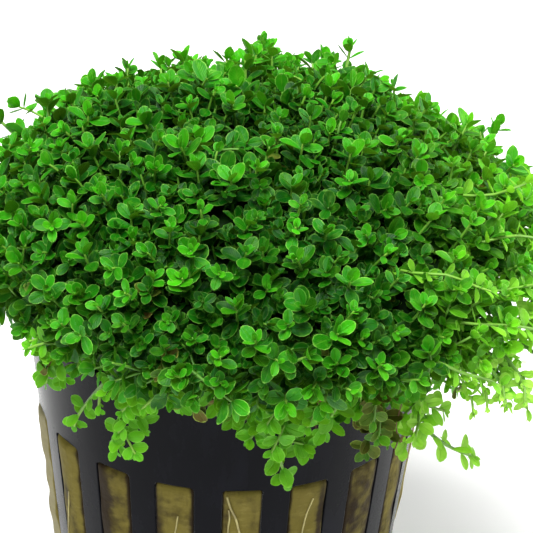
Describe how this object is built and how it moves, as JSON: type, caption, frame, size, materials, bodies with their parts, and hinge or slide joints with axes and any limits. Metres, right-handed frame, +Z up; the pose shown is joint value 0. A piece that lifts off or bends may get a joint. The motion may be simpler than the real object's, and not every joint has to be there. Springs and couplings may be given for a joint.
{
  "type": "potted dwarf baby tears",
  "caption": "Dense dome of tiny round-leaved creeping stems growing over the rim of a slotted net pot filled with rockwool, with shoots trailing down outside.",
  "frame": {"origin": "centre of the net pot's flat underside", "axes": "+Z up along the pot's axis, -Y towards the camera of the picture, +X to its right, the side where the foliage reaches furthest"},
  "size_m": [0.0834, 0.0741, 0.0772],
  "materials": {
    "pot_black": "smooth black plastic with a slight sheen",
    "rockwool": "wet brown and olive mineral fibre",
    "leaf_green": "living leaves, slightly waxy",
    "young_green": "young living leaves, slightly waxy",
    "old_olive": "old leaves, dull"
  },
  "bodies": {
    "root": {"net_pot": "pot_black", "rockwool_plug": "rockwool", "leaf_mound": "leaf_green", "trailing_shoot_left_rim": "young_green", "trailing_shoot_left_bare": "young_green", "trailing_shoot_left_front": "young_green", "trailing_shoot_front_short": "young_green", "trailing_shoot_front_long": "young_green", "trailing_shoot_front_right": "young_green", "trailing_shoot_old_growth": "old_olive", "trailing_shoot_right_long": "young_green", "trailing_shoot_right_front": "young_green", "trailing_shoot_right_low": "young_green", "trailing_shoot_right_side": "young_green", "trailing_shoot_right_rear": "young_green", "trailing_shoot_rear_right": "young_green", "trailing_shoot_rear": "young_green", "trailing_shoot_rear_left": "young_green", "trailing_shoot_left_side": "young_green", "standing_shoot_crest_left": "young_green", "standing_shoot_crest_right": "young_green", "standing_shoot_shoulder_left": "young_green", "standing_shoot_shoulder_right": "young_green"}
  },
  "joints": []
}
